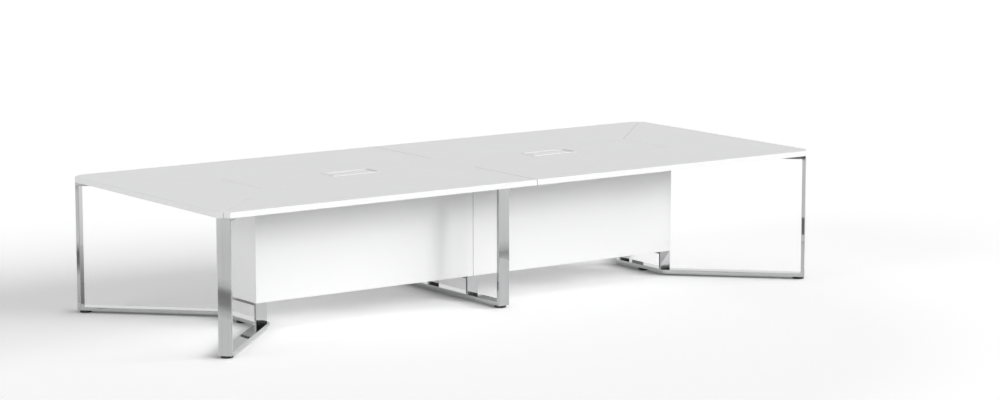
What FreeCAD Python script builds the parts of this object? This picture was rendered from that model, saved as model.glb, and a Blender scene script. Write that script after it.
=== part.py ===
import FreeCAD, Part
import os
import re
import Sketcher

# Meeting table: a white board top on a hollow cable spine, carried by chromed flat-tube legs.
# Millimetres. The origin is on the floor under the middle of the top, X runs along the length
# to the right, Y runs away from the front edge, and Z is up.

doc = FreeCAD.newDocument("meeting_table")

# Driving dimensions, one row each: name, value and meaning.
DRIVING = [
    ("table_length", 3880, "length of the top"),
    ("table_width", 1580, "width of the top"),
    ("table_height", 740, "floor to work surface"),
    ("top_thick", 30, "thickness of the top boards"),
    ("corner_cut", 50, "legs of the 45 degree cut at each corner of the top"),
    ("board_joint", 2.4, "open joint between neighbouring top boards"),
    ("board_ease", 0.8, "eased arris on the upper edges of the top boards"),
    ("strip_width", 400, "width of the middle strip and of the spine under it"),
    ("spine_length", 2780, "length of the spine"),
    ("spine_bottom", 135, "floor to the underside of the spine"),
    ("panel_thick", 18, "thickness of the spine panels"),
    ("panel_joint", 3, "open joint between two spine panels in a row"),
    ("panel_ease", 0.8, "eased arris on the outer edges of the spine panels"),
    ("slot_length", 260, "cable slot in the spine's base, end to end"),
    ("slot_width", 80, "cable slot in the spine's base, across"),
    ("window_width", 200, "cable window in the bulkhead, across"),
    ("window_height", 240, "cable window in the bulkhead, up"),
    ("window_round", 40, "corner radius of the cable window"),
    ("bar_width", 70, "flat tube, wide side"),
    ("bar_thick", 20, "flat tube of the legs, narrow side"),
    ("carrier_thick", 15, "flat tube of the spine carriers, narrow side"),
    ("bar_wall", 2, "wall of the flat tubes"),
    ("bar_round", 2, "outer corner radius of the flat tubes"),
    ("middle_reach", 490, "middle of the table to the outer face of a middle post"),
    ("carrier_inset", 5, "spine face to the outer face of a carrier upright"),
    ("fit_gap", 0.3, "clearance of parts that butt or slip in"),
    ("foot_height", 13, "floor to the underside of the leg tubes"),
    ("foot_radius", 32.5, "radius of a levelling foot"),
    ("foot_ease", 2, "bevel round a levelling foot"),
    ("foot_inset", 36, "outer face of a post to the middle of its foot"),
    ("stud_radius", 4.9, "radius of a foot's stud"),
    ("stud_length", 15, "stud above the foot's disc"),
    ("insert_radius", 7, "outer radius of a threaded insert"),
    ("insert_bore", 5, "bore radius of a threaded insert"),
    ("insert_length", 14, "length of a threaded insert"),
    ("flap_offset", 665, "middle of the table to the middle of a cable flap"),
    ("flap_length", 296, "flap rim, long side"),
    ("flap_width", 132, "flap rim, short side"),
    ("rim_width", 6, "flap rim beyond the cut-out in the strip"),
    ("rim_proud", 3, "height of the flap rim above the work surface"),
    ("rim_bevel", 1.5, "bevel on the outer edge of the flap rim"),
    ("skirt_wall", 2.7, "wall of the flap frame inside the cut-out"),
    ("skirt_depth", 28, "depth of the flap frame below the work surface"),
    ("lid_thick", 8, "thickness of the flap lid"),
    ("lid_gap", 0.8, "gap round the flap lid"),
    ("ledge_width", 5, "ledges that the closed lid rests on, across"),
    ("ledge_length", 60, "ledges, along the lid"),
    ("ledge_thick", 3, "ledges, thickness"),
    ("ledge_gap", 0.1, "closed lid to its ledges"),
    ("notch_length", 90, "finger and cable notch in the lid, along it"),
    ("notch_depth", 16, "finger and cable notch in the lid, into it"),
    ("notch_round", 6, "corner radius of that notch"),
    ("rod_radius", 2, "radius of the flap's hinge rod"),
    ("rod_play", 0.05, "radial clearance of the hinge rod in the frame"),
    ("rod_seat", 0.02, "radial clearance of the hinge rod in the lid"),
    ("bracket_leg", 40, "leg of an angle bracket"),
    ("bracket_thick", 3, "thickness of an angle bracket"),
    ("bracket_length", 60, "length of an angle bracket along the panel"),
    ("bracket_inner", 420, "middle of the table to the nearer brackets"),
    ("bracket_outer", 960, "middle of the table to the further brackets"),
    ("cut_margin", 1, "how far the outline of a cut passes the stock"),
]

sheet = doc.addObject("Spreadsheet::Sheet", "sizes")
for row, (alias, size, meaning) in enumerate(DRIVING, start=1):
    sheet.set(f"A{row}", meaning)
    sheet.set(f"B{row}", str(size))
    sheet.setAlias(f"B{row}", alias)
doc.recompute()
aliases = {alias for alias, size, meaning in DRIVING}

# Places that several pieces share, worked out from the driving dimensions.
TOP_UNDERSIDE = "(table_height - top_thick)"
MITRE_OFFSET = "((table_length - table_width) / 2)"
STRIP_END = f"({MITRE_OFFSET} + strip_width / 2)"
HALF_JOINT = "(board_joint / 2)"
DIAGONAL_JOINT = "(board_joint / 2 * sqrt(2))"
FACET_X = "(table_length / 2 - corner_cut / 2)"
FACET_Y = "(table_width / 2 - corner_cut / 2)"
INNER_WIDTH = "(strip_width - 2 * panel_thick)"
CROSSBAR_X = "(spine_length / 2 - bar_width / 2)"
CROSSBAR_END = f"({CROSSBAR_X} - {MITRE_OFFSET})"
BAR_TOP = "(foot_height + bar_thick)"
CARRIER_FACE = "(strip_width / 2 - carrier_inset)"
CUTOUT_LENGTH = "(flap_length - 2 * rim_width)"
CUTOUT_WIDTH = "(flap_width - 2 * rim_width)"
SKIRT_LENGTH = f"({CUTOUT_LENGTH} - 2 * fit_gap)"
SKIRT_WIDTH = f"({CUTOUT_WIDTH} - 2 * fit_gap)"
MOUTH_LENGTH = f"({SKIRT_LENGTH} - 2 * skirt_wall)"
MOUTH_WIDTH = f"({SKIRT_WIDTH} - 2 * skirt_wall)"
HINGE_Y = f"({MOUTH_WIDTH} / 2 - lid_gap - lid_thick / 2)"

SIDES = {"left": -1, "right": 1}
DEPTHS = {"front": -1, "back": 1}
CORNERS = [(depth, side) for depth in DEPTHS for side in SIDES]

SAME_PLACE = 1e-4
LEAST_CUT = 1

nodes = []


def sized(text):
    """The expression with each alias pointed at the sheet."""
    return re.sub(r"[a-z_]+", lambda word: f"sizes.{word[0]}" if word[0] in aliases else word[0], text)


def number(text):
    """The expression's value in millimetres."""
    return float(sheet.evalExpression(sized(text)))


def node(kind, label):
    """A new sub-part of the table, named after its piece."""
    made = doc.addObject(kind, label)
    made.Label = label
    nodes.append(made)
    return made


def place(piece, x="0", y="0", z="0", turn=None):
    """Puts a piece at a point given by expressions, turned as the rotation says."""
    piece.Placement = FreeCAD.Placement(FreeCAD.Vector(), turn or FreeCAD.Rotation())
    for axis, text in zip("xyz", (x, y, z)):
        piece.setExpression(f"Placement.Base.{axis}", sized(text))


def axes_turn(along, thickness):
    """The rotation that lays local X along one direction and local Z along another."""
    local_x = FreeCAD.Vector(*along)
    local_z = FreeCAD.Vector(*thickness)
    return FreeCAD.Rotation(local_x, local_z.cross(local_x), local_z, "XZY")


def sketch_on(body, role, lift=None):
    """A sketch on one of the body's own planes, lifted off it by an expression."""
    plane = next(part for part in body.Origin.OriginFeatures if part.Role == role)
    sketch = body.newObject("Sketcher::SketchObject", f"{body.Label}_sketch")
    sketch.AttachmentSupport = [(plane, "")]
    sketch.MapMode = "FlatFace"
    if lift:
        sketch.setExpression("AttachmentOffset.Base.z", sized(lift))
    return sketch


def pin_along(sketch, kind, geometry, position, text):
    """Holds one point of the sketch at an expression's distance from the origin, X or Y."""
    rule = Sketcher.Constraint(kind, -1, 1, geometry, position, number(text))
    index = sketch.addConstraint(rule)
    sketch.setExpression(f"Constraints[{index}]", sized(text))


def pin_across(sketch, geometry, position, x):
    """Holds one point of the sketch at an expression along X alone."""
    pin_along(sketch, "DistanceX", geometry, position, x)


def pin_point(sketch, geometry, position, x, y):
    """Holds one point of the sketch at two expressions."""
    pin_across(sketch, geometry, position, x)
    pin_along(sketch, "DistanceY", geometry, position, y)


def outline(sketch, corners):
    """A closed outline of straight lines through corners given as pairs of expressions."""
    points = [FreeCAD.Vector(number(x), number(y), 0) for x, y in corners]
    first = sketch.GeometryCount
    count = len(points)
    for index, point in enumerate(points):
        sketch.addGeometry(Part.LineSegment(point, points[(index + 1) % count]), False)
    for index, (x, y) in enumerate(corners):
        following = first + (index + 1) % count
        sketch.addConstraint(Sketcher.Constraint("Coincident", first + index, 2, following, 1))
        pin_point(sketch, first + index, 1, x, y)


def rectangle(sketch, low_x, low_y, high_x, high_y):
    outline(sketch, [(low_x, low_y), (high_x, low_y), (high_x, high_y), (low_x, high_y)])


def centred_rectangle(sketch, length, width):
    rectangle(sketch, f"-{length} / 2", f"-{width} / 2", f"{length} / 2", f"{width} / 2")


def circle(sketch, x, y, radius):
    middle = FreeCAD.Vector(number(x), number(y), 0)
    made = sketch.addGeometry(Part.Circle(middle, FreeCAD.Vector(0, 0, 1), number(radius)), False)
    pin_point(sketch, made, 3, x, y)
    index = sketch.addConstraint(Sketcher.Constraint("Radius", made, number(radius)))
    sketch.setExpression(f"Constraints[{index}]", sized(radius))


def pad(body, sketch, length, both_ways=False, backward=False):
    made = body.newObject("PartDesign::Pad", f"{body.Label}_pad")
    made.Profile = sketch
    made.setExpression("Length", sized(length))
    if both_ways:
        made.SideType = "Symmetric"
    made.Reversed = backward
    doc.recompute()
    return made


def cut(body, sketch, depth=None):
    """Cuts the sketch to a depth, or through the whole body both ways, and makes sure that something went."""
    before = body.Shape.Volume
    made = body.newObject("PartDesign::Pocket", f"{body.Label}_cut")
    made.Profile = sketch
    if depth:
        made.Reversed = True
        made.setExpression("Length", sized(depth))
    else:
        made.Type = "ThroughAll"
        made.SideType = "Symmetric"
    doc.recompute()
    if body.Shape.Volume > before - LEAST_CUT:
        raise RuntimeError(f"a cut in {body.Label} takes nothing away")
    return made


def ease(body, base, size, wanted, kind="Chamfer"):
    """Bevels or rounds the edges of the base feature whose ends and middle pass the test."""
    names = []
    for index, edge in enumerate(base.Shape.Edges, start=1):
        spots = [vertex.Point for vertex in edge.Vertexes] + [edge.CenterOfMass]
        if all(wanted(spot) for spot in spots):
            names.append(f"Edge{index}")
    made = body.newObject(f"PartDesign::{kind}", f"{body.Label}_ease")
    made.Base = (base, names)
    made.setExpression("Radius" if kind == "Fillet" else "Size", sized(size))
    doc.recompute()
    return made


def near(value, text):
    return abs(value - number(text)) < SAME_PLACE


# The top: seven boards, 30 mm thick. Mitre joints run from the corners to the middle strip.


def top_board(label, outlines):
    body = node("PartDesign::Body", label)
    sketch = sketch_on(body, "XY_Plane")
    for corners in outlines:
        outline(sketch, corners)
    blank = pad(body, sketch, "top_thick")
    return body, blank


def side_board(depth, side):
    x_sign, y_sign = SIDES[side], DEPTHS[depth]
    inner_y = f"(strip_width / 2 + {HALF_JOINT})"
    corners = [
        (HALF_JOINT, inner_y),
        (HALF_JOINT, "table_width / 2"),
        ("(table_length / 2 - corner_cut)", "table_width / 2"),
        (f"({FACET_X} - {DIAGONAL_JOINT} / 2)", f"({FACET_Y} + {DIAGONAL_JOINT} / 2)"),
        (f"({MITRE_OFFSET} - {DIAGONAL_JOINT} + {inner_y})", inner_y),
    ]
    signed = [(f"{x_sign} * {x}", f"{y_sign} * {y}") for x, y in corners]
    body, blank = top_board(f"top_{depth}_{side}", [signed])
    ease(body, blank, "board_ease", lambda spot: near(spot.z, "top_thick"))
    place(body, z=TOP_UNDERSIDE)


def end_board(side):
    x_sign = SIDES[side]
    inner_x = f"({STRIP_END} + {HALF_JOINT})"
    half = [
        (inner_x, f"({inner_x} - {MITRE_OFFSET} - {DIAGONAL_JOINT})"),
        (f"({FACET_X} + {DIAGONAL_JOINT} / 2)", f"({FACET_Y} - {DIAGONAL_JOINT} / 2)"),
        ("table_length / 2", "(table_width / 2 - corner_cut)"),
    ]
    there = [(f"{x_sign} * {x}", y) for x, y in half]
    back = [(f"{x_sign} * {x}", f"-1 * {y}") for x, y in reversed(half)]
    body, blank = top_board(f"top_end_{side}", [there + back])
    ease(body, blank, "board_ease", lambda spot: near(spot.z, "top_thick"))
    place(body, z=TOP_UNDERSIDE)


def middle_strip():
    reach_x = f"({STRIP_END} - {HALF_JOINT})"
    reach_y = f"(strip_width / 2 - {HALF_JOINT})"
    outlines = [[(f"-{reach_x}", f"-{reach_y}"), (reach_x, f"-{reach_y}"),
                 (reach_x, reach_y), (f"-{reach_x}", reach_y)]]
    for sign in SIDES.values():
        low_x = f"({sign} * flap_offset - {CUTOUT_LENGTH} / 2)"
        high_x = f"({sign} * flap_offset + {CUTOUT_LENGTH} / 2)"
        low_y, high_y = f"-{CUTOUT_WIDTH} / 2", f"{CUTOUT_WIDTH} / 2"
        outlines.append([(low_x, low_y), (high_x, low_y), (high_x, high_y), (low_x, high_y)])
    body, blank = top_board("top_strip", outlines)

    def outer_arris(spot):
        on_outline = near(abs(spot.x), reach_x) or near(abs(spot.y), reach_y)
        return near(spot.z, "top_thick") and on_outline

    ease(body, blank, "board_ease", outer_arris)
    place(body, z=TOP_UNDERSIDE)


for depth, side in CORNERS:
    side_board(depth, side)
for side in SIDES:
    end_board(side)
middle_strip()


# The cable flaps: a raised frame set into the strip, a lid, and the rod that it swings on.


def flap_frame(side):
    body = node("PartDesign::Body", f"flap_frame_{side}")
    rim = sketch_on(body, "XY_Plane")
    centred_rectangle(rim, "flap_length", "flap_width")
    centred_rectangle(rim, MOUTH_LENGTH, MOUTH_WIDTH)
    raised = pad(body, rim, "rim_proud")

    def outer_edge(spot):
        on_outline = near(abs(spot.x), "flap_length / 2") or near(abs(spot.y), "flap_width / 2")
        return near(spot.z, "rim_proud") and on_outline

    ease(body, raised, "rim_bevel", outer_edge)
    skirt = sketch_on(body, "XY_Plane")
    centred_rectangle(skirt, SKIRT_LENGTH, SKIRT_WIDTH)
    centred_rectangle(skirt, MOUTH_LENGTH, MOUTH_WIDTH)
    pad(body, skirt, "skirt_depth", backward=True)
    ledges = sketch_on(body, "XY_Plane", lift="-(lid_thick + ledge_gap + ledge_thick)")
    for sign in SIDES.values():
        rectangle(ledges, f"{sign} * ({MOUTH_LENGTH} / 2 - ledge_length)", f"-{MOUTH_WIDTH} / 2",
                  f"{sign} * {MOUTH_LENGTH} / 2", f"-{MOUTH_WIDTH} / 2 + ledge_width")
    pad(body, ledges, "ledge_thick")
    bores = sketch_on(body, "YZ_Plane")
    circle(bores, HINGE_Y, "-lid_thick / 2", "rod_radius + rod_play")
    cut(body, bores)
    place(body, x=f"{SIDES[side]} * flap_offset", z="table_height")


def flap_lid(side):
    """A plate whose back edge is rounded about the hinge rod, with a notch for fingers and cables."""
    body = node("PartDesign::Body", f"flap_lid_{side}")
    profile = sketch_on(body, "YZ_Plane")
    front = f"-({MOUTH_WIDTH} / 2 - lid_gap)"
    corners = [(HINGE_Y, "0"), (front, "0"), (front, "-lid_thick"), (HINGE_Y, "-lid_thick")]
    points = [FreeCAD.Vector(number(x), number(y), 0) for x, y in corners]
    for start, end in zip(points, points[1:]):
        profile.addGeometry(Part.LineSegment(start, end), False)
    middle = FreeCAD.Vector(number(HINGE_Y) + number("lid_thick") / 2, -number("lid_thick") / 2, 0)
    back = profile.addGeometry(Part.Arc(points[-1], middle, points[0]), False)
    for line in (0, 1):
        profile.addConstraint(Sketcher.Constraint("Coincident", line, 2, line + 1, 1))
    profile.addConstraint(Sketcher.Constraint("Coincident", 2, 2, back, 1))
    profile.addConstraint(Sketcher.Constraint("Coincident", back, 2, 0, 1))
    for line, (x, y) in enumerate(corners[:3]):
        pin_point(profile, line, 1, x, y)
    pin_point(profile, 2, 2, *corners[3])
    pin_across(profile, back, 3, HINGE_Y)
    pad(body, profile, f"{MOUTH_LENGTH} - 2 * lid_gap", both_ways=True)
    notch = sketch_on(body, "XY_Plane")
    inner_y = f"{front} + notch_depth"
    rectangle(notch, "-notch_length / 2", f"{front} - cut_margin", "notch_length / 2", inner_y)
    notched = cut(body, notch)

    def notch_corner(spot):
        return near(abs(spot.x), "notch_length / 2") and near(spot.y, inner_y)

    ease(body, notched, "notch_round", notch_corner, kind="Fillet")
    bore = sketch_on(body, "YZ_Plane")
    circle(bore, HINGE_Y, "-lid_thick / 2", "rod_radius + rod_seat")
    cut(body, bore)
    place(body, x=f"{SIDES[side]} * flap_offset", z="table_height")


def flap_rod(side):
    rod = node("Part::Cylinder", f"flap_rod_{side}")
    rod.setExpression("Radius", sized("rod_radius"))
    rod.setExpression("Height", sized(SKIRT_LENGTH))
    place(rod, f"{SIDES[side]} * flap_offset - {SKIRT_LENGTH} / 2", HINGE_Y,
          "table_height - lid_thick / 2", axes_turn((0, 0, -1), (1, 0, 0)))


for side in SIDES:
    flap_frame(side)
    flap_lid(side)
    flap_rod(side)


# The spine: a hollow box of white panels. The end panels stand between the long ones.


def long_panel(depth, side):
    body = node("PartDesign::Body", f"panel_{depth}_{side}")
    sketch = sketch_on(body, "XZ_Plane")
    sign = SIDES[side]
    rectangle(sketch, f"{sign} * panel_joint / 2", "spine_bottom",
              f"{sign} * spine_length / 2", TOP_UNDERSIDE)
    blank = pad(body, sketch, "panel_thick")
    face = "0" if depth == "back" else "-panel_thick"
    ease(body, blank, "panel_ease", lambda spot: near(spot.y, face))
    place(body, y="strip_width / 2" if depth == "back" else "panel_thick - strip_width / 2")


def end_panel(side):
    body = node("PartDesign::Body", f"panel_end_{side}")
    sketch = sketch_on(body, "YZ_Plane")
    rectangle(sketch, f"-{INNER_WIDTH} / 2", "spine_bottom", f"{INNER_WIDTH} / 2", TOP_UNDERSIDE)
    pad(body, sketch, "panel_thick")
    place(body, x="spine_length / 2 - panel_thick" if side == "right" else "-spine_length / 2")


def oblong(sketch, x, length, width):
    """A slot along X with round ends."""
    reach = f"({length} - {width}) / 2"
    half = f"{width} / 2"
    up = FreeCAD.Vector(0, number(half), 0)
    out = FreeCAD.Vector(number(half), 0, 0)
    left = FreeCAD.Vector(number(f"{x} - {reach}"), 0, 0)
    right = FreeCAD.Vector(number(f"{x} + {reach}"), 0, 0)
    run = [
        Part.LineSegment(left - up, right - up),
        Part.Arc(right - up, right + out, right + up),
        Part.LineSegment(right + up, left + up),
        Part.Arc(left + up, left - out, left - up),
    ]
    first = sketch.GeometryCount
    for piece in run:
        sketch.addGeometry(piece, False)
    for index in range(len(run)):
        following = first + (index + 1) % len(run)
        sketch.addConstraint(Sketcher.Constraint("Coincident", first + index, 2, following, 1))
    pin_point(sketch, first, 1, f"{x} - {reach}", f"-{half}")
    pin_point(sketch, first + 1, 1, f"{x} + {reach}", f"-{half}")
    pin_point(sketch, first + 2, 1, f"{x} + {reach}", half)
    pin_point(sketch, first + 3, 1, f"{x} - {reach}", half)
    pin_across(sketch, first + 1, 3, f"{x} + {reach}")
    pin_across(sketch, first + 3, 3, f"{x} - {reach}")


def spine_base():
    """The floor of the spine, with a slot below each flap for cables from a floor box."""
    body = node("PartDesign::Body", "spine_base")
    sketch = sketch_on(body, "XY_Plane")
    centred_rectangle(sketch, "(spine_length - 2 * panel_thick)", INNER_WIDTH)
    for sign in SIDES.values():
        oblong(sketch, f"{sign} * flap_offset", "slot_length", "slot_width")
    pad(body, sketch, "panel_thick")
    place(body, z="spine_bottom")


def spine_bulkhead():
    """The cross wall behind the joint of the long panels, with a window for cables."""
    body = node("PartDesign::Body", "spine_bulkhead")
    sketch = sketch_on(body, "YZ_Plane")
    low_z = "spine_bottom + panel_thick"
    rectangle(sketch, f"-{INNER_WIDTH} / 2", low_z, f"{INNER_WIDTH} / 2", TOP_UNDERSIDE)
    middle_z = f"(({low_z} + {TOP_UNDERSIDE}) / 2)"
    rectangle(sketch, "-window_width / 2", f"{middle_z} - window_height / 2",
              "window_width / 2", f"{middle_z} + window_height / 2")
    blank = pad(body, sketch, "panel_thick", both_ways=True)
    middle = number(middle_z)

    def window_corner(spot):
        return near(abs(spot.y), "window_width / 2") and near(abs(spot.z - middle), "window_height / 2")

    ease(body, blank, "window_round", window_corner, kind="Fillet")
    place(body)


for depth, side in CORNERS:
    long_panel(depth, side)
for side in SIDES:
    end_panel(side)
spine_base()
spine_bulkhead()


def bracket(x_place, y_sign, face, outward):
    """A steel angle under the top, against the outer or the inner face of a long panel."""
    legs = []
    for height, across in (("bracket_leg", "bracket_thick"), ("bracket_thick", "bracket_leg")):
        leg = doc.addObject("Part::Box", "bracket_leg")
        leg.setExpression("Length", sized("bracket_length"))
        leg.setExpression("Width", sized(across))
        leg.setExpression("Height", sized(height))
        back_off = "0" if y_sign * outward > 0 else across
        place(leg, f"{x_place} - bracket_length / 2", f"{y_sign} * {face} - {back_off}",
              f"{TOP_UNDERSIDE} - {height}")
        legs.append(leg)
    angle = doc.addObject("Part::Fuse", "bracket")
    angle.Base, angle.Tool = legs
    angle.Refine = True
    return angle


def top_brackets():
    """The angles that tie the boards of the top to the long panels, inside and outside the spine."""
    group = node("Part::Compound", "top_brackets")
    angles = []
    for y_sign in DEPTHS.values():
        for x_place in ("-bracket_outer", "-bracket_inner", "bracket_inner", "bracket_outer"):
            angles.append(bracket(x_place, y_sign, "strip_width / 2", 1))
            angles.append(bracket(x_place, y_sign, f"{INNER_WIDTH} / 2", -1))
    group.Links = angles


top_brackets()


# The legs: flat chromed tube, mitred and welded. Local X runs along a tube, local Y across its
# wide side, and local Z from its outer face inward.


def flat_tube(label, length, thick, both_ways=False):
    """A hollow flat tube with rounded corners and square ends."""
    body = node("PartDesign::Body", label)
    section = sketch_on(body, "YZ_Plane")
    rectangle(section, "-bar_width / 2", "0", "bar_width / 2", thick)
    rectangle(section, "bar_wall - bar_width / 2", "bar_wall",
              "bar_width / 2 - bar_wall", f"{thick} - bar_wall")
    blank = pad(body, section, length, both_ways)

    def long_corner(spot):
        on_face = near(spot.z, "0") or near(spot.z, thick)
        return on_face and near(abs(spot.y), "bar_width / 2")

    ease(body, blank, "bar_round", long_corner, kind="Fillet")
    return body


def slant_end(body, length, slope, way=1):
    """Cuts the end of a tube on a slant in plan: longer where Y times the slope is negative."""
    beyond = f"{way} * ({length} + 2 * bar_width)"
    sketch = sketch_on(body, "XY_Plane")
    outline(sketch, [
        (f"{way} * ({length} - {slope} * bar_width)", "bar_width"),
        (f"{way} * ({length} + {slope} * bar_width)", "-bar_width"),
        (beyond, "-bar_width"),
        (beyond, "bar_width"),
    ])
    cut(body, sketch)


def tube(label, length, thick, start="square", end="square", end_slope=None):
    """A flat tube whose ends are square, mitred in its thickness, or slanted in plan."""
    spare = "bar_width" if end_slope else "0"
    body = flat_tube(label, f"{length} + {spare}", thick)
    above = f"({thick} + cut_margin)"
    if start == "mitre":
        sketch = sketch_on(body, "XZ_Plane")
        outline(sketch, [("-cut_margin", "-cut_margin"), (above, above), ("-cut_margin", above)])
        cut(body, sketch)
    if end == "mitre":
        past = f"{length} + cut_margin"
        sketch = sketch_on(body, "XZ_Plane")
        outline(sketch, [(past, "-cut_margin"), (f"{length} - {above}", above), (past, above)])
        cut(body, sketch)
    if end_slope:
        slant_end(body, length, end_slope)
    return body


def foot_hole(body, along):
    """A hole in the tube's lower wall for a foot's threaded insert."""
    sketch = sketch_on(body, "XY_Plane")
    circle(sketch, along, "0", "insert_radius + fit_gap")
    cut(body, sketch, depth="2 * bar_wall")


UP, DOWN = (0, 0, 1), (0, 0, -1)
POST_LENGTH = f"({TOP_UNDERSIDE} - foot_height)"
ARM_MITRE = "tan(22.5 deg)"
HALF_ROOT = 0.5 ** 0.5

# Where the feet stand: by name, a pair of expressions.
foot_places = {}


def corner_leg(depth, side):
    """A post at the cut corner, an arm to the crossbar below and a rail to the spine above."""
    x_sign, y_sign = SIDES[side], DEPTHS[depth]
    name = f"{depth}_{side}"
    inward = (-x_sign * HALF_ROOT, -y_sign * HALF_ROOT, 0)
    bend = x_sign * y_sign
    face_x, face_y = f"{x_sign} * {FACET_X}", f"{y_sign} * {FACET_Y}"
    post = tube(f"post_{name}", POST_LENGTH, "bar_thick", start="mitre", end="mitre")
    place(post, face_x, face_y, "foot_height", axes_turn(UP, inward))
    arm_length = f"(({FACET_X} - {CROSSBAR_X}) * sqrt(2))"
    arm = tube(f"arm_{name}", arm_length, "bar_thick", start="mitre", end_slope=f"({bend} * {ARM_MITRE})")
    foot_hole(arm, "foot_inset")
    place(arm, face_x, face_y, "foot_height", axes_turn(inward, UP))
    rail_length = f"(({FACET_Y} - strip_width / 2 - fit_gap) * sqrt(2))"
    rail = tube(f"rail_{name}", rail_length, "bar_thick", start="mitre", end_slope=f"({-bend})")
    place(rail, face_x, face_y, TOP_UNDERSIDE, axes_turn(inward, DOWN))
    foot_places[name] = (f"{face_x} - {x_sign} * foot_inset / sqrt(2)",
                         f"{face_y} - {y_sign} * foot_inset / sqrt(2)")


def crossbar(side):
    """The short tube under the spine's end that the two corner arms run into."""
    sign = SIDES[side]
    body = flat_tube(f"crossbar_{side}", f"2 * ({CROSSBAR_END} + bar_width)", "bar_thick", both_ways=True)
    for way in (1, -1):
        slant_end(body, CROSSBAR_END, f"({-sign} * {ARM_MITRE})", way)
    foot_hole(body, "0")
    place(body, f"{sign} * {CROSSBAR_X}", "0", "foot_height", axes_turn((0, 1, 0), UP))
    foot_places[f"end_{side}"] = (f"{sign} * {CROSSBAR_X}", "0")


def middle_frame():
    """The frame across the middle: a beam on the floor side, two posts and two rails to the spine."""
    beam = tube("beam_middle", "2 * middle_reach", "bar_thick", start="mitre", end="mitre")
    foot_hole(beam, "foot_inset")
    foot_hole(beam, "2 * middle_reach - foot_inset")
    place(beam, "0", "-middle_reach", "foot_height", axes_turn((0, 1, 0), UP))
    for depth, y_sign in DEPTHS.items():
        inward = (0, -y_sign, 0)
        face_y = f"{y_sign} * middle_reach"
        post = tube(f"post_{depth}_middle", POST_LENGTH, "bar_thick", start="mitre", end="mitre")
        place(post, "0", face_y, "foot_height", axes_turn(UP, inward))
        rail_length = "(middle_reach - strip_width / 2 - fit_gap)"
        rail = tube(f"rail_{depth}_middle", rail_length, "bar_thick", start="mitre")
        place(rail, "0", face_y, TOP_UNDERSIDE, axes_turn(inward, DOWN))
        foot_places[f"{depth}_middle"] = ("0", f"{y_sign} * (middle_reach - foot_inset)")


def carrier(name, x_place):
    """The closed loop that lifts the spine: two uprights and a bar on a crossbar or the beam."""
    for depth, y_sign in DEPTHS.items():
        upright = tube(f"upright_{depth}_{name}", f"(spine_bottom - {BAR_TOP})", "carrier_thick", end="mitre")
        place(upright, x_place, f"{y_sign} * {CARRIER_FACE}", BAR_TOP, axes_turn(UP, (0, -y_sign, 0)))
    bar = tube(f"carrier_bar_{name}", f"2 * {CARRIER_FACE}", "carrier_thick", start="mitre", end="mitre")
    place(bar, x_place, f"-{CARRIER_FACE}", "spine_bottom", axes_turn((0, 1, 0), DOWN))


for depth, side in CORNERS:
    corner_leg(depth, side)
for side in SIDES:
    crossbar(side)
    carrier(side, f"{SIDES[side]} * {CROSSBAR_X}")
middle_frame()
carrier("middle", "0")


# The feet: a bevelled disc on a threaded stud, screwed into an insert in the tube's lower wall.


def foot(name, x_place, y_place):
    body = node("PartDesign::Body", f"foot_{name}")
    sketch = sketch_on(body, "XZ_Plane")
    disc_top = "(foot_height - fit_gap)"
    outline(sketch, [
        ("0", "0"),
        ("foot_radius - foot_ease", "0"),
        ("foot_radius", "foot_ease"),
        ("foot_radius", f"{disc_top} - foot_ease"),
        ("foot_radius - foot_ease", disc_top),
        ("stud_radius", disc_top),
        ("stud_radius", f"{disc_top} + stud_length"),
        ("0", f"{disc_top} + stud_length"),
    ])
    turned = body.newObject("PartDesign::Revolution", f"foot_{name}_turned")
    turned.Profile = sketch
    turned.ReferenceAxis = (sketch, ["V_Axis"])
    turned.Angle = 360
    place(body, x_place, y_place)


def foot_inserts():
    group = node("Part::Compound", "foot_inserts")
    inserts = []
    for x_place, y_place in foot_places.values():
        shells = []
        for radius in ("insert_radius", "insert_bore"):
            shell = doc.addObject("Part::Cylinder", "insert_shell")
            shell.setExpression("Radius", sized(radius))
            shell.setExpression("Height", sized("insert_length"))
            place(shell, x_place, y_place, "foot_height")
            shells.append(shell)
        insert = doc.addObject("Part::Cut", "insert")
        insert.Base, insert.Tool = shells
        inserts.append(insert)
    group.Links = inserts


for name, (x_place, y_place) in foot_places.items():
    foot(name, x_place, y_place)
foot_inserts()

doc.recompute()
for made in doc.Objects:
    if "Invalid" in made.State or "Error" in made.State:
        raise RuntimeError(f"{made.Label} failed: {made.State}")
for piece in nodes:
    if piece.Shape.isNull() or not piece.Shape.isValid():
        raise RuntimeError(f"{piece.Label} has no valid shape")

os.makedirs("parts", exist_ok=True)
for piece in nodes:
    piece.Shape.exportStep(f"parts/{piece.Label}.step")
print(len(nodes), "parts written")
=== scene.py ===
import math

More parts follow.
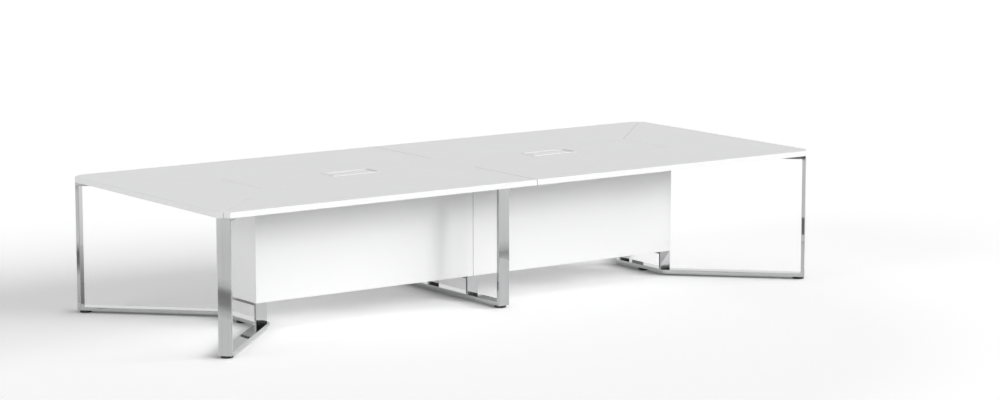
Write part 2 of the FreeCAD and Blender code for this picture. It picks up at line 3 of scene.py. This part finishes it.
import bmesh
import bpy
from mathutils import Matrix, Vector


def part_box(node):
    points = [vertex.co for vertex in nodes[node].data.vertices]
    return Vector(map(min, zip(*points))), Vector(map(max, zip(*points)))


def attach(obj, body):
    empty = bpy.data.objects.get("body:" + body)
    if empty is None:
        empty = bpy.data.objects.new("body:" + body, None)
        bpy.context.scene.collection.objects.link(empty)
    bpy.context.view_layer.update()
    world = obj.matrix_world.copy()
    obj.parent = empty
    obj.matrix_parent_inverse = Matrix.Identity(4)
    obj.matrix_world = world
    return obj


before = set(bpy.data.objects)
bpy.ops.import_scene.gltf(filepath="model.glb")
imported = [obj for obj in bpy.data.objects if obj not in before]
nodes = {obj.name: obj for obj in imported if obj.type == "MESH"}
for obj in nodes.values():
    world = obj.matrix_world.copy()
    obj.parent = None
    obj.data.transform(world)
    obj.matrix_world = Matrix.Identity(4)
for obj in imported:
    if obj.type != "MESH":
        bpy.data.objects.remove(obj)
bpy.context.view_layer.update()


# Levelling feet: black moulded plastic discs, each on a zinc-plated steel stud with a thread.
# The stud screws into an insert in the tube above, so a turn of the disc levels the leg.
DISC_TOP = 0.0128
THREAD_PITCH = 0.0015
THREAD_DEPTH = 0.0004
FOOT_BLACK = (0.010, 0.010, 0.011), (0.020, 0.020, 0.021)
STUD_ZINC = (0.50, 0.49, 0.47)
WAVE_RATE = 20  # radians to the metre in a wave texture of scale 1


class Wire:
    """A node's output in a material.

    Arithmetic on it adds Math nodes, and node() adds any other node.
    """

    def __init__(self, tree, socket=None):
        self.tree = tree
        self.socket = socket

    def node(self, kind, settings=None, sockets=None, out=0):
        """A new node's output. Its settings come first, then the values or links of its sockets."""
        made = self.tree.nodes.new("ShaderNode" + kind)
        for name, value in (settings or {}).items():
            if name == "stops":
                for stop in range(2, len(value)):
                    made.color_ramp.elements.new(stop / len(value))
                for element, (position, grey) in zip(made.color_ramp.elements, value):
                    element.position = position
                    element.color = (grey, grey, grey, 1)
            else:
                setattr(made, name, value)
        for name, value in (sockets or {}).items():
            if isinstance(value, Wire):
                self.tree.links.new(value.socket, made.inputs[name])
            else:
                made.inputs[name].default_value = value
        return Wire(self.tree, made.outputs[out] if made.outputs else None)

    def __getitem__(self, out):
        return Wire(self.tree, self.socket.node.outputs[out])

    def maths(self, operation, first, second):
        return self.node("Math", {"operation": operation}, {0: first, 1: second})

    def __add__(self, other):
        return self.maths("ADD", self, other)

    def __sub__(self, other):
        return self.maths("SUBTRACT", self, other)

    def __rsub__(self, other):
        return self.maths("SUBTRACT", other, self)

    def __mul__(self, other):
        return self.maths("MULTIPLY", self, other)

    def __gt__(self, other):
        return self.maths("GREATER_THAN", self, other)

    def __abs__(self):
        return self.maths("ABSOLUTE", self, 0)

    __radd__ = __add__
    __rmul__ = __mul__

    def noise(self, scale, detail=3, roughness=0.5):
        """Cloudy grain on these coordinates, so many clouds to the metre."""
        sockets = {"Vector": self, "Scale": scale, "Detail": detail, "Roughness": roughness}
        return self.node("TexNoise", None, sockets)

    def ramp(self, *stops):
        """The grey that this value picks from stops of a position and a grey."""
        return self.node("ValToRGB", {"stops": stops}, {0: self})

    def between(self, low, high):
        """The colour from low to high that this value picks. A plain number is a grey."""
        ends = []
        for end in (low, high):
            if isinstance(end, tuple):
                end = (*end, 1)
            elif not isinstance(end, Wire):
                end = (end, end, end, 1)
            ends.append(end)
        return self.node("Mix", {"data_type": "RGBA"}, {0: self, 6: ends[0], 7: ends[1]}, out=2)

    def relief(self, depth):
        """The surface's normal, raised by this height times a depth in metres."""
        return self.node("Bump", None, {"Height": self, "Distance": depth, "Strength": 1})


def painted(name, shader):
    """A material whose shader comes from a function of the place on the piece."""
    made = bpy.data.materials.new(name)
    made.use_nodes = True
    made.node_tree.nodes.clear()
    place = Wire(made.node_tree).node("TexCoord", out="Object")
    place.node("OutputMaterial", None, {"Surface": shader(place)})
    return made


def finish(name, surface):
    """A material whose Principled sockets come from a function of the place on the piece."""
    return painted(name, lambda place: place.node("BsdfPrincipled", None, surface(place)))


def dress(material, *pieces):
    """Gives the pieces this material and no other."""
    for piece in pieces:
        piece.data.materials.clear()
        piece.data.materials.append(material)


def named(*starts, but=None):
    """The solids whose names start so, but for one."""
    return [piece for name, piece in nodes.items() if name.startswith(starts) and name != but]


def foot_surface(place):
    """Moulded plastic to the top of the disc, and the threaded stud above it."""
    stud = place.node("SeparateXYZ", None, {0: place})["Z"] > DISC_TOP
    grain = place.noise(1600, 2)
    handling = place.noise(70, 4, 0.6)
    thread = place.node("TexWave", {"bands_direction": "Z", "wave_profile": "TRI"},
                        {"Vector": place, "Scale": math.tau / (WAVE_RATE * THREAD_PITCH)}, out=1)
    height = stud * thread + (1 - stud) * (0.08 * grain)
    return {
        "Base Color": stud.between(handling.between(*FOOT_BLACK), STUD_ZINC),
        "Metallic": stud,
        "Roughness": 0.2 + 0.14 * handling + 0.1 * stud,
        "Normal": height.relief(THREAD_DEPTH),
    }


dress(finish("foot_plastic", foot_surface), *named("foot_", but="foot_inserts"))


# Threaded inserts: steel bushes with yellowish zinc plate, one above each foot.
# They are pressed into the tubes' lower walls and take the thread of the feet's studs.
ZINC_PLATE = (0.46, 0.44, 0.39), (0.60, 0.59, 0.56)


def zinc_surface(place):
    spangle = place.node("TexVoronoi", None, {"Vector": place, "Scale": 700})
    cloud = place.noise(160, 4, 0.6)
    return {
        "Base Color": cloud.between(*ZINC_PLATE),
        "Metallic": 1,
        "Roughness": 0.26 + 0.2 * cloud,
        "Normal": spangle.relief(0.00004),
    }


zinc = finish("zinc_plate", zinc_surface)
dress(zinc, nodes["foot_inserts"])


# Legs: flat steel tube, 70 by 20 mm, mitred, welded, ground smooth at the mitres and chromed.
# Corner legs and the middle frame each have a post, a bar on the feet and a rail under the top.
CHROME = (0.497, 0.501, 0.506), (0.529, 0.532, 0.536)
POLISH_STRETCH = 0.985  # 1 would draw the polishing lines out without end
SLANT = 0.5 ** 0.5


def chrome_along(name, along):
    """Chrome plate with the faint lines of the belt that polished the tube lengthways."""

    def surface(place):
        reach = place.node("VectorMath", {"operation": "DOT_PRODUCT"}, {0: place, 1: along}, out=1)
        run = place.node("VectorMath", {"operation": "SCALE"},
                         {0: along, "Scale": POLISH_STRETCH * reach})
        section = place.node("VectorMath", {"operation": "SUBTRACT"}, {0: place, 1: run})
        lines = section.noise(95, 2).ramp((0.38, 0), (0.62, 1))
        ripple = place.noise(7, 1)
        haze = place.noise(13, 5, 0.62).ramp((0.42, 0), (0.74, 1))
        return {
            "Base Color": lines.between(*CHROME),
            "Metallic": 1,
            "Roughness": 0.022 + 0.02 * haze + 0.01 * lines,
            "Normal": (ripple + 0.02 * lines).relief(0.00006),
        }

    return finish(name, surface)


chrome_upright = chrome_along("chrome_upright", (0, 0, 1))
chrome_across = chrome_along("chrome_across", (0, 1, 0))
chrome_rising = chrome_along("chrome_corner", (SLANT, SLANT, 0))
chrome_falling = chrome_along("chrome_corner_mirrored", (SLANT, -SLANT, 0))
dress(chrome_upright, *named("post_"))
dress(chrome_across, *named("crossbar_", "beam_"),
      nodes["rail_front_middle"], nodes["rail_back_middle"])
for bar in ("arm", "rail"):
    dress(chrome_rising, nodes[bar + "_front_left"], nodes[bar + "_back_right"])
    dress(chrome_falling, nodes[bar + "_front_right"], nodes[bar + "_back_left"])


# Spine carriers: closed loops of lighter chromed tube, 70 by 15 mm, on the crossbars and the beam.
# They are welded on and lift the spine off the floor, so that cables and a broom pass under it.
dress(chrome_upright, *named("upright_"))
dress(chrome_across, *named("carrier_"))


# Spine: a hollow box of 18 mm chipboard faced with white melamine, edged in matching plastic band.
# The panels are doweled and glued to the base and to a bulkhead behind the long sides' joint.
BOARD_WHITE = (0.796, 0.798, 0.799), (0.816, 0.817, 0.817)


def white_board(place):
    """White melamine: an even satin with a fine pearl, duller here and there from wiping."""
    cloud = place.noise(2.5, 3)
    wiped = place.noise(9, 5, 0.6)
    pearl = place.noise(1300, 2)
    return {
        "Base Color": cloud.between(*BOARD_WHITE),
        "Roughness": 0.36 + 0.1 * wiped,
        "Normal": pearl.relief(0.000012),
        "Specular IOR Level": 0.4,
    }


dress(finish("spine_board", white_board), *named("panel_", "spine_"))


# Brackets: pressed steel angles under the top, sprayed white, inside and outside the long panels.
# Each is held by four pan-head chipboard screws, two up into the top and two into the panel.
SPRAYED_WHITE = (0.72, 0.72, 0.715), (0.77, 0.77, 0.765)
BRACKET_PLACES = (-0.96, -0.42, 0.42, 0.96)
BRACKET_THICK = 0.003
SCREW_SPREAD = 0.018
SCREW_OUT = 0.024
SCREW_HEAD = {"radius": 0.004, "rise": 0.0024}
CROSS_REACH = 0.0022
CROSS_HALF = 0.0005
ROUND_STEPS = 24
# Shares of a head's radius and rise, from its seat to its crown, and of the rise at the drive's end.
HEAD_PROFILE = ((1.0, 0.0), (1.0, 0.35), (0.93, 0.68), (0.78, 0.9), (0.58, 1.0))
DRIVE_BOTTOM = 0.25


def sprayed_surface(place):
    peel = place.noise(420, 2)
    cloud = place.noise(30, 4)
    return {
        "Base Color": cloud.between(*SPRAYED_WHITE),
        "Roughness": 0.38 + 0.12 * cloud,
        "Normal": peel.relief(0.00006),
    }


def round_outline(radius, steps):
    turns = [math.tau * step / steps for step in range(steps)]
    return [(radius * math.cos(turn), radius * math.sin(turn)) for turn in turns]


def screw_head(mesh, seat, outward, drive, radius, rise):
    """A domed head that stands on its seat, with a sunk drive of the given outline."""
    turn = Vector(outward).to_track_quat("Z", "Y")

    def ring(outline, height):
        spots = [turn @ Vector((x, y, rise * height)) for x, y in outline]
        return [mesh.verts.new(Vector(seat) + spot) for spot in spots]

    def wall(low, high):
        for step in range(len(low)):
            ahead = (step + 1) % len(low)
            mesh.faces.new((low[step], low[ahead], high[ahead], high[step]))

    rings = [ring(round_outline(radius * share, ROUND_STEPS), height)
             for share, height in HEAD_PROFILE]
    for low, high in zip(rings, rings[1:]):
        wall(low, high)
    mouth = ring(drive, 1)
    bottom = ring(drive, DRIVE_BOTTOM)
    wall(mouth, bottom)
    mesh.faces.new(bottom)
    loops = []
    for loop in (rings[-1], mouth):
        for step, vert in enumerate(loop):
            pair = (vert, loop[(step + 1) % len(loop)])
            loops.append(mesh.edges.get(pair) or mesh.edges.new(pair))
    bmesh.ops.bridge_loops(mesh, edges=loops)


def object_from(mesh, name, material):
    """A dressed object from a mesh under construction."""
    data = bpy.data.meshes.new(name)
    mesh.to_mesh(data)
    mesh.free()
    made = bpy.data.objects.new(name, data)
    bpy.context.scene.collection.objects.link(made)
    dress(material, made)
    return made


def heads_on_table(mesh, name, material):
    """Heads of fasteners, as one piece that stays with the table."""
    bmesh.ops.recalc_face_normals(mesh, faces=mesh.faces)
    heads = object_from(mesh, name, material)
    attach(heads, "table")


dress(finish("bracket_paint", sprayed_surface), nodes["top_brackets"])

cross = []
corner = [(CROSS_REACH, CROSS_HALF), (CROSS_HALF, CROSS_HALF), (CROSS_HALF, CROSS_REACH)]
for quarter in range(4):
    cross += corner
    corner = [(-y, x) for x, y in corner]
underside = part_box("top_strip")[0].z
panel_low, panel_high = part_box("panel_front_left")
panel_faces = ((panel_low.y, -1), (panel_high.y, 1), (-panel_high.y, -1), (-panel_low.y, 1))
mesh = bmesh.new()
for middle in BRACKET_PLACES:
    for face, way in panel_faces:
        for x in (middle - SCREW_SPREAD, middle + SCREW_SPREAD):
            on_panel = (x, face + way * BRACKET_THICK, underside - SCREW_OUT)
            on_top = (x, face + way * SCREW_OUT, underside - BRACKET_THICK)
            screw_head(mesh, on_panel, (0, way, 0), cross, **SCREW_HEAD)
            screw_head(mesh, on_top, (0, 0, -1), cross, **SCREW_HEAD)
heads_on_table(mesh, "bracket_screws", zinc)


# Rail bolts: chromed steel bolts with a button head and a hexagon socket.
# They go up through the rails and screw into threaded sleeves in the top boards.
BOLT_HEAD = {"radius": 0.0075, "rise": 0.0042}
HEXAGON_RADIUS = 0.0029
MIDDLE_BOLT = 0.31
RAIL_CORNER = (1.915, 0.765)
BOLT_STEPS = (0.17, 0.42)

hexagon = round_outline(HEXAGON_RADIUS, 6)
rail_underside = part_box("rail_front_middle")[0].z
mesh = bmesh.new()
for y_way in (-1, 1):
    spots = [(0, y_way * MIDDLE_BOLT)]
    for x_way in (-1, 1):
        for inward in BOLT_STEPS:
            spots.append((x_way * (RAIL_CORNER[0] - inward), y_way * (RAIL_CORNER[1] - inward)))
    for x, y in spots:
        screw_head(mesh, (x, y, rail_underside), (0, 0, -1), hexagon, **BOLT_HEAD)
heads_on_table(mesh, "rail_bolts", chrome_upright)


# Top: seven 30 mm boards with white melamine faces and banded edges, mitred towards the corners.
# Dowels line the boards up, and connecting bolts underneath draw the joints tight.
# The walls of the joints between boards are painted grey as shade, darker where the long boards meet
# than round the strip.
JOINT_HALF = 0.002
STRIP_HALF = 0.2
STRIP_END = 1.35
STRIP_JOINT_SHADE = 0.6, 0.68
MIDDLE_JOINT_SHADE = 0.34, 0.44


def from_middle(place):
    """The distances from the table's middle along its length and across it."""
    spot = place.node("SeparateXYZ", None, {0: place})
    return abs(spot["X"]), abs(spot["Y"])


def beside(distance, target, reach):
    """1 where a distance is within reach of its target, else 0."""
    return 1 - (abs(distance - target) > reach)


def top_surface(place):
    """White board, with painted shade on the joint walls where the edge of one board meets the next.
    """
    sockets = white_board(place)
    x, y = from_middle(place)
    outside = y > STRIP_HALF
    middle_ends = beside(x, 0, JOINT_HALF) * outside
    strip_ends = beside(x, STRIP_END, JOINT_HALF) * (1 - outside)
    strip_sides = beside(y, STRIP_HALF, JOINT_HALF) * (1 - (x > STRIP_END))
    # Painted shade: grey on the joint walls, darkest at the middle joint of the long boards.
    joint_shade_grain = place.noise(400, 2)
    strip_edges = strip_ends + strip_sides
    colour = strip_edges.between(sockets["Base Color"], joint_shade_grain.between(*STRIP_JOINT_SHADE))
    sockets["Base Color"] = middle_ends.between(colour, joint_shade_grain.between(*MIDDLE_JOINT_SHADE))
    return sockets


dress(finish("top_board", top_surface), *named("top_", but="top_brackets"))


# Cable flaps: die-cast aluminium frames dropped into the strip, each with a plate lid.
# Both are powder coated white, and the frame's end walls are painted grey as shade.
FLAP_PLACE = 0.665
MOUTH_HALF = 0.139
END_WALL_REACH = 0.0004
FRAME_WHITE = 0.77, 0.79
LID_WHITE = 0.812, 0.835
END_WALL_SHADE = 0.5, 0.58


def powder_coat(place, low, high):
    """Powder coat between two greys, with a fine orange peel."""
    peel = place.noise(650, 2)
    cloud = place.noise(25, 3)
    return {
        "Base Color": cloud.between(low, high),
        "Roughness": 0.4 + 0.08 * cloud,
        "Normal": peel.relief(0.00004),
    }


def frame_surface(place):
    """The frame's coat, with painted shade on the end walls of its mouth."""
    sockets = powder_coat(place, *FRAME_WHITE)
    x, _ = from_middle(place)
    near_wall = beside(x, FLAP_PLACE - MOUTH_HALF, END_WALL_REACH)
    far_wall = beside(x, FLAP_PLACE + MOUTH_HALF, END_WALL_REACH)
    # Painted shade: the end walls of the mouth are grey.
    end_wall_shade = place.noise(900, 3).between(*END_WALL_SHADE)
    sockets["Base Color"] = (near_wall + far_wall).between(sockets["Base Color"], end_wall_shade)
    return sockets


def lid_surface(place):
    return powder_coat(place, *LID_WHITE)


dress(finish("flap_frame_coat", frame_surface), *named("flap_frame_"))
dress(finish("flap_lid_coat", lid_surface), *named("flap_lid_"))


# Hinge rods: bright steel, drawn through a die and cut to length, fixed in the lids' back edges.
# Each turns with its lid in holes in the frame's end walls.
DRAWN_STEEL = (0.48, 0.48, 0.47), (0.58, 0.58, 0.57)
DRAWN_LINES = (2, 900, 900)


def drawn_surface(place):
    stretched = place.node("Mapping", None, {"Vector": place, "Scale": DRAWN_LINES})
    lines = stretched.noise(1, 3)
    return {
        "Base Color": lines.between(*DRAWN_STEEL),
        "Metallic": 1,
        "Roughness": 0.22 + 0.14 * lines,
        "Normal": lines.relief(0.00001),
    }


dress(finish("drawn_steel", drawn_surface), *named("flap_rod_"))


# Studio: a white paper floor that brightens away from the table, under an even sky.
# Three soft key lamps stand side by side at the front right and a low fill at the left.
# Dark flags on the floor and a card in front are there for the chrome to mirror.
FLOOR_HALF = 60
FLOOR_STEP = 15
FLOOR_Z = -0.0005
PAPER = 0.846, 0.854
KEY_SIDE = {"X": 0.73, "Y": -0.61, "Z": 0.3}
SHADE_REACH = 0.12
DEEPEST_SHADE = 0.5
GLOW_OVAL = {"Location": (0.4, 0.275, 0), "Scale": (0.2, 0.275, 1)}
GLOW = (0.7, 0.16), (0.9, 0.25)  # distance from the oval's middle, and brightness
FLAG_Z = 0.001
EVEN_COVER = (0, 1), (1, 1)
HIDDEN_FROM = ("camera", "diffuse", "transmission", "volume_scatter", "shadow")


def stage_sheet(name, corners, material):
    """A piece of the studio from rows of corner points."""
    mesh = bmesh.new()
    rows = [[mesh.verts.new(corner) for corner in row] for row in corners]
    for low, high in zip(rows, rows[1:]):
        for step in range(len(low) - 1):
            mesh.faces.new((low[step], low[step + 1], high[step + 1], high[step]))
    made = object_from(mesh, name, material)
    return made


def level(rows, z=FLAG_Z):
    """Rows of corner points at one height."""
    return [[(x, y, z) for x, y in row] for row in rows]


def shown(start):
    """1 for a ray that shows a thing to the camera, straight, mirrored or through glass, else 0."""
    path = start.node("LightPath", out="Is Camera Ray")
    return path + path["Is Glossy Ray"] + path["Is Transmission Ray"]


def paper(place):
    """Matt paper: pale for the light that it throws back, and white where it is shown.

    There it is shaded where something close by hides the key lamps.
    """
    seen = shown(place)
    key_side = place.node("CombineXYZ", None, KEY_SIDE)
    open_side = place.node("AmbientOcclusion", {"samples": 8},
                           {"Distance": SHADE_REACH, "Normal": key_side}, out="AO")
    tint = place.noise(0.6, 3).between(*PAPER)
    tint = seen.between(tint, open_side.between(DEEPEST_SHADE, 1))
    matt = place.node("BsdfDiffuse", None, {"Color": tint})
    oval = place.node("Mapping", None, {"Vector": place, **GLOW_OVAL})
    away = place.node("VectorMath", {"operation": "LENGTH"}, {0: oval}, out=1)
    brightness = open_side * open_side * away.ramp(*GLOW)
    glow = place.node("Emission", None, {"Color": brightness})
    lit = place.node("AddShader", None, {0: matt, 1: glow})
    return place.node("MixShader", None, {0: seen, 1: matt, 2: lit})


floor_steps = range(-FLOOR_HALF, FLOOR_HALF + 1, FLOOR_STEP)
stage_sheet("studio_floor", level([[(x, y) for x in floor_steps] for y in floor_steps], FLOOR_Z),
            painted("paper", paper))


def flag(name, corners, grey, cover=EVEN_COVER, axis="Y", light=0):
    """A sheet that only mirrors show, dark unless it is given light.

    Its cover goes from its first row of corners to its last along an axis.
    """
    near, far = (row[0]["XYZ".index(axis)] for row in (corners[0], corners[-1]))
    mottle = 0.01 if light else 0.1

    def cloth(place):
        across = place.node("SeparateXYZ", None, {0: place})[axis]
        share = place.node("MapRange", None, {0: across, 1: near, 2: far})
        weave = place.noise(40, 3).between(grey * (1 - mottle), grey * (1 + mottle))
        if light:
            face = place.node("Emission", None, {"Color": weave, "Strength": light})
        else:
            face = place.node("BsdfDiffuse", None, {"Color": weave})
        clear = place.node("BsdfTransparent")
        return place.node("MixShader", None, {0: share.ramp(*cover), 1: clear, 2: face})

    made = stage_sheet(name, corners, painted(name, cloth))
    for kind in HIDDEN_FROM:
        setattr(made, "visible_" + kind, False)


flag("flag_left", level([[(-6, -1.3), (-1, -1.3)], [(-6, -1.9), (-1, -1.9)]]), 0.32,
     ((0, 0.08), (0.14, 0.3), (0.31, 0.78), (0.55, 0.89), (0.66, 0.78), (0.8, 0.22), (1, 0)))
# Painted shade for the chrome to mirror: flag_end lies on the floor left of the table, where its
# shadow falls.
flag("flag_end", level([[(-1.95, -0.6), (-1.95, 0.6)], [(-4.1, -0.6), (-4.1, 0.6)]]), 0.13,
     ((0, 0.3), (0.2, 0.14), (0.44, 0.05), (0.54, 0.5), (0.615, 0.76),
      (0.763, 0.84), (0.81, 0.68), (0.911, 0.18), (0.961, 0)), axis="X")
flag("flag_middle", level([[(-1, -1.8), (0.9, -1.8)], [(-1, -2.24), (0.9, -2.24)]]), 0.32)
flag("flag_right", level([[(0.9, -0.55), (4, -0.55)], [(0.9, -2.25), (4, -2.25)]]), 0.48,
     ((0, 0.1), (0.54, 0.12), (0.69, 0.32), (0.74, 0.5),
      (0.8, 0.85), (0.84, 0.48), (0.89, 0.28), (1, 0)))
flag("flag_far_left", level([[(-9, -3.05), (-4.5, -3.05)], [(-9, -7), (-4.5, -7)]]), 0.42)
flag("flag_far", level([[(-2.4, -3.36), (-1.2, -4.56)], [(-3.2, -4.16), (-2.0, -5.36)]]), 0.15)
# Painted shade for the chrome to mirror: flag_back lies on the floor behind the table, where its
# shadow falls.
flag("flag_back", level([[(-1.85, 0.85), (0, 0.85)], [(-1.85, 1.9), (0, 1.9)]]), 0.3,
     ((0, 0.75), (1, 0)))

# Grey sheets under the table, where the spine's shade falls, shown only to mirrors: painted shade
# for the carriers.
CARRIER_FACES = (-1.41, -0.055, 1.3)
CARRIER_FLAG_WIDTH = 0.34
CARRIER_FLAG_Z = 0.035
CARRIER_FLAG_FRONT = -0.2
CARRIER_FLAG_BACK = (0.5, 0.18)
for number, inner in enumerate(CARRIER_FACES):
    sides = (inner - CARRIER_FLAG_WIDTH, inner)
    rows = [[(x, CARRIER_FLAG_FRONT) for x in sides], list(zip(sides, CARRIER_FLAG_BACK))]
    flag(f"carrier_flag_{number}", level(rows, CARRIER_FLAG_Z), 0.65)

# A dark card stands in front, with a glowing strip below it that lights nothing and shows only in
# mirrors: a painted reflection.
CARD_Y = -3
CARD_TOP = 1.6
CARD_FRONT_EDGE = 0.654
CARD_BACK_EDGE = 0.715
CARD_SPARE = 0.14
CARD_SPANS = ((0.345, 0.578), (1.98, 2.253), (3.61, 3.92))  # what each front post mirrors
LIGHT_FOOT = 0.45
LIGHT_STRENGTH = 1.7
card_edge = []
for front, back in CARD_SPANS:
    step = (front + back) / 2
    card_edge += [(front - CARD_SPARE, CARD_Y, CARD_FRONT_EDGE), (step, CARD_Y, CARD_FRONT_EDGE),
                  (step, CARD_Y, CARD_BACK_EDGE), (back + CARD_SPARE, CARD_Y, CARD_BACK_EDGE)]
card_top = [(x, y, CARD_TOP) for x, y, _ in card_edge]
light_foot = [(x, y, LIGHT_FOOT) for x, y, _ in card_edge]
flag("card", [card_edge, card_top], 0.03, axis="Z")
flag("strip", [light_foot, card_edge], 0.98, axis="Z", light=LIGHT_STRENGTH)

SKY = 0.372
world = bpy.data.worlds.new("studio_sky")
bpy.context.scene.world = world
world.use_nodes = True
world.node_tree.nodes.clear()
sky = Wire(world.node_tree)
dim = sky.node("Background", None, {"Color": (1, 1, 1, 1), "Strength": SKY})
white = sky.node("Background", None, {"Color": (1, 1, 1, 1), "Strength": 1})
mixed = sky.node("MixShader", None, {0: shown(sky), 1: dim, 2: white})
sky.node("OutputWorld", None, {"Surface": mixed})


def lamp(name, azimuth, elevation, strength, spread):
    """A distant soft lamp, placed by its degrees right of the table's front and above the floor."""
    light = bpy.data.lights.new(name, "SUN")
    light.energy = strength
    light.angle = math.radians(spread)
    made = bpy.data.objects.new(name, light)
    made.rotation_euler = (math.radians(90 - elevation), 0, math.radians(azimuth))
    made.visible_glossy = False
    bpy.context.scene.collection.objects.link(made)


lamp("key_lamp", azimuth=38, elevation=15, strength=1.16, spread=14)
lamp("key_lamp_front", azimuth=20, elevation=20, strength=0.61, spread=26)
lamp("key_lamp_side", azimuth=56, elevation=20, strength=1.42, spread=26)
lamp("left_fill", azimuth=-90, elevation=10, strength=1.38, spread=40)


# Camera: a long lens at the photograph's place, looking a little down on the near left corner.
# Its place, turn and focal length are fitted to the table's edges, with no shift of the lens.
CAMERA_PLACE = (-9.6474, -13.8360, 3.1619)
CAMERA_DOWN = 8.868
CAMERA_RIGHT = 35.784
camera = bpy.data.objects.new("camera", bpy.data.cameras.new("camera"))
camera.data.sensor_width = 36
camera.data.lens = 111.34
camera.data.clip_end = 200
camera.location = CAMERA_PLACE
camera.rotation_euler = (math.radians(90 - CAMERA_DOWN), 0, math.radians(-CAMERA_RIGHT))
bpy.context.scene.collection.objects.link(camera)
bpy.context.scene.camera = camera
bpy.context.scene.view_settings.view_transform = "Standard"
